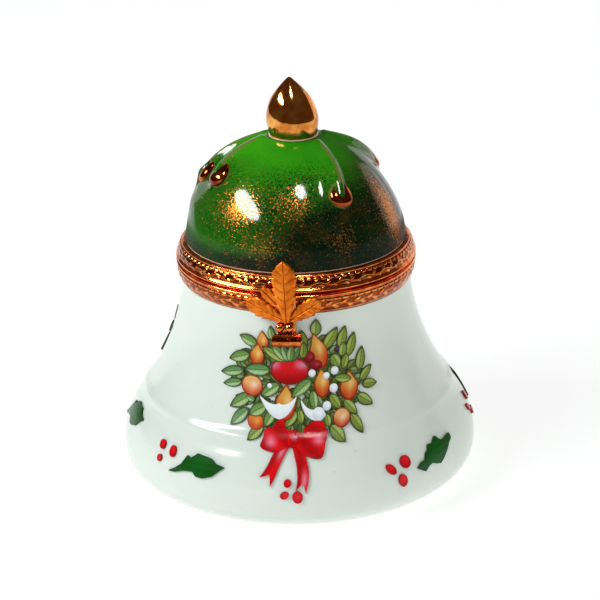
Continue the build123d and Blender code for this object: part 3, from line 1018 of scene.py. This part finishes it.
def rib_relief(dome, turns):
    """How far the ribs raise the dome, and where their pale lines run."""
    height, crest = np.zeros(turns.shape), np.zeros(turns.shape)
    steps = np.linspace(0, 1, 40)
    for rib in RIBS:
        path, _ = rib_spot(rib, steps)
        gaps = np.linalg.norm(dome[..., None, :] - path, axis=-1)
        nearest, gap = gaps.argmin(-1), gaps.min(-1)
        steep = apart(turns, (rib[0] + (rib[1] - rib[0]) * steps)[nearest]) > 0
        rise = 0.45 + 0.95 * fade(steps[nearest], 0.0, 0.9)
        height = np.maximum(height, rise * hump(gap, 0, np.where(steep, 0.8, 1.9)))
        line = hump(gap, 0.12 * steep, 0.3) * fade(steps[nearest], 0.02, 0.2)
        from_drop = np.linalg.norm(dome - rib_spot(rib, 1.0)[0], axis=-1)
        rim = hump(from_drop, DROP_R + 0.1, 0.16)
        crest = np.maximum(crest, np.maximum(line * (from_drop > DROP_R), rim))
    return height, crest


def glaze_values(turns, level):
    """Where the glaze is dusted with gold, darkened, stippled dark and dull. The gold is heaped where the
    highlights fall, as painted glint, and the darkening is painted shade and painted reflection, partly
    glaze pooled lower down.
    """
    around = np.radians(turns)
    gold_dust_and_glint = np.zeros(turns.shape)
    for turn, z, wide, tall, strength in GOLD_DUST_AND_GLINTS:
        dust_and_glint = strength * hump(apart(turns, turn), 0, wide) * hump(level, z, tall)
        gold_dust_and_glint = np.maximum(gold_dust_and_glint, dust_and_glint * fade_out(level, 52.0, 55.0))
    wave = 0.15 * np.sin(3 * around + 1.0) + 0.1 * np.sin(5 * around - level * 0.7)
    plain = hump(apart(turns, 298), 0, 13) * hump(level, 43.0, 3.0)
    stipple = np.clip((0.75 + wave) * (1 - 0.7 * plain), 0, 1) * fade_out(level, 52.0, 56.0)
    # Painted shade and painted reflection of a dark room: darker below the crown (partly glaze pooled
    # thicker), darker still at the front middle and on the right, and at the foot above the band.
    depth = 0.62 * fade_out(level, 49.5, 55.5)
    depth += 0.5 * hump(apart(turns, 22), 0, 34) * fade_out(level, 45.0, 52.0)
    depth += 0.4 * hump(apart(turns, 85), 0, 48) + 0.3 * fade_out(level, 41.2, 43.0)
    worn = fade_out(level, 42.2, 44.2)
    return {"gold_dust_and_glint": gold_dust_and_glint, "depth": np.clip(depth, 0, 1), "stipple": stipple, "worn": worn}


def make_lid():
    low = corners("lid_dome")[0].z
    ledge = corners("upper_bezel")[1].z + 0.1
    neck_r = outer_radius(LID_SURFACE, (low + ledge) / 2)
    bore_rays = np.linspace(0, math.radians(84), 50)
    bore = [reach(LID_SURFACE, (0, 0, DOME_FOOT_Z), (math.cos(a), 0, math.sin(a))) for a in bore_rays]
    hole_r = 1.5  # for the finial's peg
    cushion = SEAT_Z + 0.17  # glaze drawn up a little under the finial
    outline = [(DOME_R[-1], ledge), (neck_r, ledge), (neck_r, low), (bore[0][0], low), *bore]
    outline += [(hole_r, bore[-1][1]), (hole_r, cushion), (3.5, cushion), (3.95, SEAT_Z + 0.13)]
    rows = len(DOME_R)
    radii = [*DOME_R, *[r for r, _ in outline]]
    rings = turned(radii, [*DOME_Z, *[z for _, z in outline]], LID_COLUMNS)
    dome = rings[:rows]
    turns = np.degrees(circle(LID_COLUMNS)) + 0 * dome[..., 0]
    height, crest = rib_relief(dome, turns)
    level = dome[..., 2]
    height += 0.7 * hump(apart(turns, 262), 0, 16) * fade(level, 42.0, 46.0) * fade_out(level, 47.5, 51.0)
    _, out = dome_point(DOME_R[:, None] + 0 * turns, turns)
    dome += out * (height * fade(DOME_R, SEAT_R, SEAT_R + 0.7)[:, None])[..., None]
    below = ((0, len(outline)), (0, 0))
    values = {key: np.pad(data, below, "edge") for key, data in glaze_values(turns, dome[..., 2]).items()}
    values["worn"][rows:] = 1
    values["crest"] = np.pad(crest, below)
    values = {key: data.ravel() for key, data in values.items()}
    lid = piece("porcelain_lid", "lid", loop_body(rings), GREEN, ["lid_dome"], values)
    lid.data.materials.append(WHITE)
    inside = np.repeat(np.arange(len(rings)) >= rows + 1, LID_COLUMNS)
    for face in lid.data.polygons:
        face.material_index = int(all(inside[corner] for corner in face.vertices))


def make_drops():
    """Gilded drops at the feet of the ribs: domed, with a tail that runs up the rib."""
    bodies = []
    polar = np.linspace(0.05, math.pi - 0.05, 26)[:, None]
    around = circle(36)
    along = np.cos(polar) * np.where(polar < math.pi / 2, 2.6, 1.95)
    wide = DROP_R * np.sin(polar) * np.sin(polar / 2) ** 0.4 * 1.22
    shape = spots(wide * np.cos(around), wide * np.sin(around) * 0.5, along)
    for rib in RIBS:
        centre, out = rib_spot(rib, 1.0, 0.35)
        up = rib_spot(rib, 0.8)[0] - centre
        up -= out * (up @ out)
        up /= np.linalg.norm(up)
        bodies.append(capped_body(centre + shape @ np.array([np.cross(out, up), out, up])))
    piece("gilded_drops", "lid", joined(bodies), RED_GOLD)


make_lid()
make_drops()


# ---------------------------------------------------------------- finial


def make_finial():
    """Pointed bud turned from the outline of its CAD node, smooth between that node's rings."""
    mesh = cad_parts["finial"].data
    widest = {}
    for vertex in mesh.vertices:
        spot = vertex.co / MM
        radius = math.hypot(spot.x, spot.y)
        if spot.z > SEAT_Z - 0.01:
            level = round(spot.z, 3)
            widest[level] = max(widest.get(level, 0.0), radius)
    levels = np.array(sorted(widest))
    radii = np.array([widest[level] for level in levels])
    length = np.concatenate([[0], np.cumsum(np.hypot(np.diff(levels), np.diff(radii)))])
    even = np.linspace(0, length[-1], 150)
    radii = softened(np.interp(even, length, radii), 4)
    levels = softened(np.interp(even, length, levels), 4)
    radii = np.clip(radii, 0.02, None)
    peg_low = corners("finial")[0].z
    peg_r = 1.4
    radii *= 0.97 - 0.07 * fade_out(levels, SEAT_Z, SEAT_Z + 3.0)
    outline_r = [0.3, peg_r, peg_r, *radii[:-1]]
    outline_z = [peg_low, peg_low, SEAT_Z, *levels[:-1]]
    rings = turned(outline_r, outline_z, 128)
    lean = 0.055  # to the left, as a share of the height
    rings[..., 0] -= lean * np.clip(rings[..., 2] - SEAT_Z, 0, None)
    piece("gilded_finial", "lid", capped_body(rings), GOLD, ["finial"])
    rim_r, wire_r = radii[0] + 0.02, 0.13
    around = circle(12)
    rim = turned(rim_r + wire_r * np.cos(around), SEAT_Z + 0.02 + wire_r * np.sin(around), 128)
    piece("finial_rim", "lid", loop_body(rim), BEAD)


make_finial()


# ---------------------------------------------------------------- chased bands

BAND_COLUMNS = 1440
BAND_R = 18.6  # at which the pattern's lengths are true
CHASING = 0.13  # depth of the pattern
FLANGE_T = 0.45


def past_nearest(u, pitch, start=0.0):
    """Distance past the nearest of the places that repeat at a pitch."""
    return ((u / pitch - start + 0.5) % 1 - 0.5) * pitch


def twig(u, v, pitch, height):
    """Wavy stem with four leaves to a pitch, in a strip of this height, from 0 for ground to 1."""
    middle = height / 2
    relief = 0.6 * hump(v, middle + 0.16 * height * np.sin(2 * math.pi * u / pitch), 0.09)
    for share, sign in ((0.10, 1), (0.36, -1), (0.60, 1), (0.86, -1)):
        du = past_nearest(u, pitch, share)
        dv = v - middle - sign * 0.22 * height
        tilt = sign * math.radians(30)
        x = du * math.cos(tilt) + dv * math.sin(tilt)
        y = -du * math.sin(tilt) + dv * math.cos(tilt)
        oval = (x / (0.42 * height)) ** 2 + (y / (0.19 * height)) ** 2
        blade = np.sqrt(np.clip(1 - oval, 0, 1)) * (1 - 0.55 * hump(y, 0, 0.06))
        relief = np.maximum(relief, blade)
    return relief


def dashes(u, v, pitch, height):
    """Row of small rounded bars."""
    du = past_nearest(u, pitch)
    bar = (du / (0.4 * pitch)) ** 4 + ((v - height / 2) / (0.42 * height)) ** 4
    return np.sqrt(np.clip(1 - bar, 0, 1))


def strip(pattern, u, v, pitch, low, high):
    """A pattern between two distances from the split, and nothing beyond them."""
    return pattern(u, v - low, pitch, high - low) * (v > low) * (v < high)


def lower_relief(u, v):
    row = strip(dashes, u, v, 1.3, 0.85, 1.4)
    leaves = strip(twig, u, v, 4.7, 1.45, 2.95)
    return np.maximum(np.maximum(row, 0.8 * leaves), 0.6 * hump(v, 3.18, 0.13))


def upper_relief(u, v):
    leaves = strip(twig, u, v, 4.0, 0.85, 2.05)
    row = strip(dashes, u, v, 1.15, 2.05, 2.47)
    return np.maximum(np.maximum(0.8 * leaves, row), 1.5 * hump(v, 2.70, 0.13))


def make_band(name, node, side, body, relief_of):
    """Band turned from its CAD outline, chased outside. Its v is the distance from the split."""
    surface = surface_of(node)
    low, high = corners(node)
    height = high.z - low.z
    out_v = np.concatenate([np.linspace(0.004, 0.82, 16), np.linspace(0.86, height - 0.01, 34)])
    out_r = np.array([outer_radius(surface, SPLIT_Z + side * v) for v in out_v])
    out_r -= 0.42 * hump(out_v, 0, 0.19)
    in_v = np.linspace(height - 0.03, 0.5, 8)
    in_r = [bore_radius(surface, SPLIT_Z + side * v, 16.4) for v in in_v]
    mouth_r = bore_radius(surface, SPLIT_Z + side * 0.2)
    radii = [*out_r, *in_r, in_r[-1], mouth_r, mouth_r]
    levels = SPLIT_Z + side * np.array([*out_v, *in_v, FLANGE_T, FLANGE_T, 0.0])
    rings = turned(radii, levels, BAND_COLUMNS)
    around = circle(BAND_COLUMNS)
    rows = len(out_v)
    relief = np.ones(rings.shape[:2])
    chased = fade(out_v, 0.78, 0.9)[:, None]
    relief[:rows] = 1 + chased * (relief_of(around * BAND_R, out_v[:, None]) - 1)
    push = (relief[:rows] - 1) * CHASING * chased
    rings[:rows] += push[..., None] * outwards(around)
    values = {"relief": relief.ravel()}
    piece(name, body, loop_body(rings), BAND, [node], values, sharp=60)


make_band("chased_lower_band", "lower_bezel", -1, "base", lower_relief)
make_band("chased_upper_band", "upper_bezel", 1, "lid", upper_relief)


# ---------------------------------------------------------------- clasp

STEM_Z = corners("clasp_centre_leaf")[0].z
LEAF_TOP_Z = corners("clasp_centre_leaf")[1].z
LEAF_T = 0.55
LEAF_KNOTS = (0, 0.12, 0.35, 0.6, 0.78, 0.92, 1.0)
LEAF_WIDTHS = (0.24, 0.42, 0.78, 1.0, 0.96, 0.62, 0.02)  # at those shares of the length
CENTRE_R = -corners("clasp_centre_leaf")[0].y - LEAF_T
SIDE_R = CENTRE_R - LEAF_T


def bent(x, z, radius):
    """Points over the front of the bands, x mm to the right of the clasp's middle."""
    across = np.clip(x / radius, -0.95, 0.95)
    return spots(x, -radius * np.sqrt(1 - across**2), z)


def metal_leaf(base, tip, width, inner_r, teeth, curl=0.0):
    """Cast leaf with toothed edges, an engraved midrib and side veins, as (shape, relief)."""
    s = np.linspace(0, 1, 90)[:, None]
    t = np.linspace(-1, 1, 45)[None, :]
    base, tip = np.array(base), np.array(tip)
    span = tip - base
    length = np.hypot(*span)
    shape = softened(np.interp(s[:, 0], LEAF_KNOTS, LEAF_WIDTHS), 2)[:, None]
    toothed = 1 + 0.2 * ((s * teeth) % 1 - 0.5) * fade(s, 0.15, 0.3) * fade_out(s, 0.9, 0.98)
    half = np.clip(shape, 0.015, None) * toothed * width / 2
    x = base[0] + s * span[0] - t * half * span[1] / length
    z = base[1] + s * span[1] + t * half * span[0] / length
    away = np.abs(t)
    slant = s * teeth - away * 0.9
    vein = hump(slant % 1, 0.5, 0.13) * fade(away, 0.05, 0.2) * fade_out(away, 0.75, 0.92)
    groove = np.maximum(hump(t * half, 0, 0.09), 0.6 * vein * fade(s, 0.1, 0.25))
    dome = 0.14 * (1 - away**2) - 0.2 * fade(away, 0.8, 1.0)
    low_r = inner_r - curl * fade(s, 0.55, 1.0)
    top_r = low_r + LEAF_T - 0.12 + dome - 0.13 * groove
    relief = (1 - groove).ravel()
    shape = sheet_body(bent(x, z, top_r), bent(x, z, low_r))
    return shape, np.concatenate([relief, np.ones(len(relief))])


def make_clasp():
    left_x = corners("clasp_left_leaf")[0].x
    right_x = corners("clasp_right_leaf")[1].x
    small = corners("clasp_small_leaf")
    young_base, young_tip = (-0.6, STEM_Z + 1.8), (small[0].x, small[1].z - 0.1)
    leaves = (  # name, node, base, tip, width, inner radius, teeth, curl
        ("upright_leaf", "centre_leaf", (0, STEM_Z), (-0.4, LEAF_TOP_Z), 3.7, CENTRE_R, 7, 0.25),
        ("spread_leaf_left", "left_leaf", (-0.2, STEM_Z), (left_x, 36.1), 2.8, SIDE_R, 6, 0.0),
        ("spread_leaf_right", "right_leaf", (0.2, STEM_Z), (right_x, 36.2), 2.8, SIDE_R, 6, 0.0),
        ("young_leaf", "small_leaf", young_base, young_tip, 1.9, SIDE_R + 0.03, 5, 0.0),
    )
    for name, node, base, tip, width, radius, teeth, curl in leaves:
        shape, relief = metal_leaf(base, tip, width, radius, teeth, curl)
        values = {"relief": relief}
        piece("clasp_" + name, "lid", shape, CLASP, ["clasp_" + node], values)


def make_lift():
    """Curled thumb lift: a strip rolled forward, with a rounded lip and closed ends."""
    low, high = corners("clasp_thumb_lift")
    half = high.x
    roll_r = 0.95
    centre_y, centre_z = low.y + roll_r, low.z + roll_r
    angles = np.radians(np.linspace(-50, 196, 40))
    thick = 0.36 + 0.16 * fade(angles, math.radians(165), math.radians(196))
    thick += 0.12 * fade(-angles, math.radians(20), math.radians(50))
    reaches = np.concatenate([roll_r + 0 * thick, (roll_r - thick)[::-1]])
    angles = np.concatenate([angles, angles[::-1]])
    x = half * np.sin(np.linspace(-math.pi / 2, math.pi / 2, 40))[:, None]
    end = np.abs(x / half)
    scale = (0.94 + 0.06 * end) * (1 - 0.35 * fade(np.abs(x), half - 0.12, half))
    y = centre_y + reaches * np.cos(angles) * scale
    z = centre_z - reaches * np.sin(angles) * scale
    rings = spots(x, y, z)
    rows, count, _ = rings.shape
    faces = grid_faces(rows, count)
    for first in (0, (rows - 1) * count):
        for i in range(count // 2 - 1):
            faces.append([first + i, first + i + 1, first + count - 2 - i, first + count - 1 - i])
    shape = (rings.reshape(-1, 3), faces)
    piece("clasp_curled_lift", "lid", shape, BEAD, ["clasp_thumb_lift"])
    around = circle(24)
    polar = np.linspace(0.08, math.pi - 0.08, 24)[:, None]
    lip_r, lip_half = 0.2, half - 0.25
    lip_x = lip_half * np.where(polar < math.pi / 2, 1, -1) + lip_r * np.cos(polar)
    lip_y = centre_y + 0.42 + lip_r * np.sin(polar) * np.cos(around)
    lip_z = centre_z + 0.72 + lip_r * np.sin(polar) * np.sin(around)
    piece("clasp_lift_lip", "lid", capped_body(spots(lip_x, lip_y, lip_z)), BEAD)


make_clasp()
make_lift()


# ---------------------------------------------------------------- CAD nodes that keep their shape


def refinish(material, *nodes):
    for node in nodes:
        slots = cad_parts[node].data.materials
        slots.clear()
        slots.append(material)


refinish(BEAD, "clasp_berry_left", "clasp_berry_right", "catch_nub")
refinish(HINGE, "clasp_tongue", "hinge_pin", "lower_hinge_saddle", "upper_hinge_saddle")
refinish(HINGE, *[f"hinge_knuckle_{i + 1}" for i in range(5)])
refinish(CEMENT, "lower_cement", "upper_cement")


# ---------------------------------------------------------------- room, light and camera

# Distances in this section are in metres.
VIEW_TURN, VIEW_RISE, VIEW_ROLL = 4.7, 21.4, -1.2
AIM = Vector((0, 0, 30)) * MM
CAMERA_DISTANCE = 0.4
LAMP_DISTANCE = 0.5
FLOOR_RADIUS = 0.6


def face_part(made, turn, rise, distance, roll=0.0):
    """Puts a lamp or camera this far off at a turn and elevation, pointing at the part."""
    a, e = math.radians(turn), math.radians(rise)
    towards = Vector((math.sin(a) * math.cos(e), -math.cos(a) * math.cos(e), math.sin(e)))
    made.location = AIM + towards * distance
    made.rotation_mode = "QUATERNION"
    aimed = (-towards).to_track_quat("-Z", "Y")
    made.rotation_quaternion = aimed @ Quaternion((0, 0, 1), math.radians(roll))


def make_floor():
    """Disc of white paper, lit a little from within so that its far side stays white."""
    f = Finish("white_paper")
    paper = f.mix(f.noise(0.05, 2.0), (0.46, 0.46, 0.46, 1), (0.50, 0.50, 0.50, 1))
    shade = f.node("BsdfDiffuse", {"Color": paper})
    glow = f.node("Emission", {"Color": (1, 1, 1, 1), "Strength": 0.69})
    f.shown_as(f.node("AddShader", {0: shade.outputs[0], 1: glow.outputs[0]}))
    mesh = bpy.data.meshes.new("floor")
    edge = [(FLOOR_RADIUS * math.cos(a), FLOOR_RADIUS * math.sin(a), 0) for a in circle(72)]
    mesh.from_pydata(edge, [], [tuple(range(len(edge)))])
    mesh.materials.append(f.material)
    placed("floor", mesh)


def make_world():
    """White to the camera, an even glow on matt surfaces, and a dim room in what is glossy."""
    world = bpy.data.worlds.new("studio")
    bpy.context.scene.world = world
    world.use_nodes = True
    nodes, links = world.node_tree.nodes, world.node_tree.links
    nodes.clear()
    path = nodes.new("ShaderNodeLightPath")
    shades = []
    for colour, strength in (
        ((0.94, 1.0, 0.96, 1), 0.3),
        ((0.6, 0.45, 0.32, 1), 0.18),
        ((1, 1, 1, 1), 1.02),
    ):
        shade = nodes.new("ShaderNodeBackground")
        shade.inputs["Color"].default_value = colour
        shade.inputs["Strength"].default_value = strength
        shades.append(shade.outputs[0])
    seen = shades[0]
    for ray, other in (("Is Glossy Ray", shades[1]), ("Is Camera Ray", shades[2])):
        mixed = nodes.new("ShaderNodeMixShader")
        links.new(path.outputs[ray], mixed.inputs[0])
        links.new(seen, mixed.inputs[1])
        links.new(other, mixed.inputs[2])
        seen = mixed.outputs[0]
    links.new(seen, nodes.new("ShaderNodeOutputWorld").inputs["Surface"])


def softbox(name, turn, rise, size, power, colour, mirrored):
    """Lamp that either lights matt colour or shows as a reflection in what is glossy."""
    lamp = bpy.data.lights.new(name, "AREA")
    lamp.shape = "ELLIPSE"
    lamp.size, lamp.size_y = size
    lamp.energy = power
    lamp.color = colour
    made = placed(name, lamp)
    face_part(made, turn, rise, LAMP_DISTANCE)
    made.visible_diffuse = not mirrored
    made.visible_glossy = mirrored


def make_camera():
    camera = placed("camera", bpy.data.cameras.new("camera"))
    face_part(camera, VIEW_TURN, VIEW_RISE, CAMERA_DISTANCE, VIEW_ROLL)
    camera.data.sensor_width = 36.0
    camera.data.lens = 149.6
    camera.data.shift_x = 0.0053
    camera.data.shift_y = -0.0132
    camera.data.clip_start = 0.01
    bpy.context.scene.camera = camera


make_floor()
make_world()
softbox("key_light", VIEW_TURN - 60.0, 39.0, (0.33, 0.25), 1.5, (0.93, 1.0, 1.0), False)
softbox("key_glint", VIEW_TURN - 74.0, 40.5, (0.36, 0.10), 4.4, (0.97, 1.0, 1.0), True)
softbox("top_glint", VIEW_TURN + 12.5, 65.0, (0.08, 0.10), 1.2, (1.0, 1.0, 1.0), True)
softbox("side_panel", VIEW_TURN + 130.0, 8.0, (0.32, 0.30), 0.24, (1.0, 0.94, 0.84), True)
softbox("back_panel", VIEW_TURN + 180.0, 4.0, (0.8, 0.25), 0.36, (1.0, 1.0, 1.0), True)
softbox("fill_light", VIEW_TURN + 62.0, 24.0, (0.3, 0.3), 0.42, (1.0, 1.0, 0.95), False)
softbox("back_light", VIEW_TURN + 170.0, 40.0, (0.4, 0.3), 0.4, (1.0, 1.0, 1.0), False)
make_camera()
bpy.context.scene.view_settings.view_transform = "Standard"
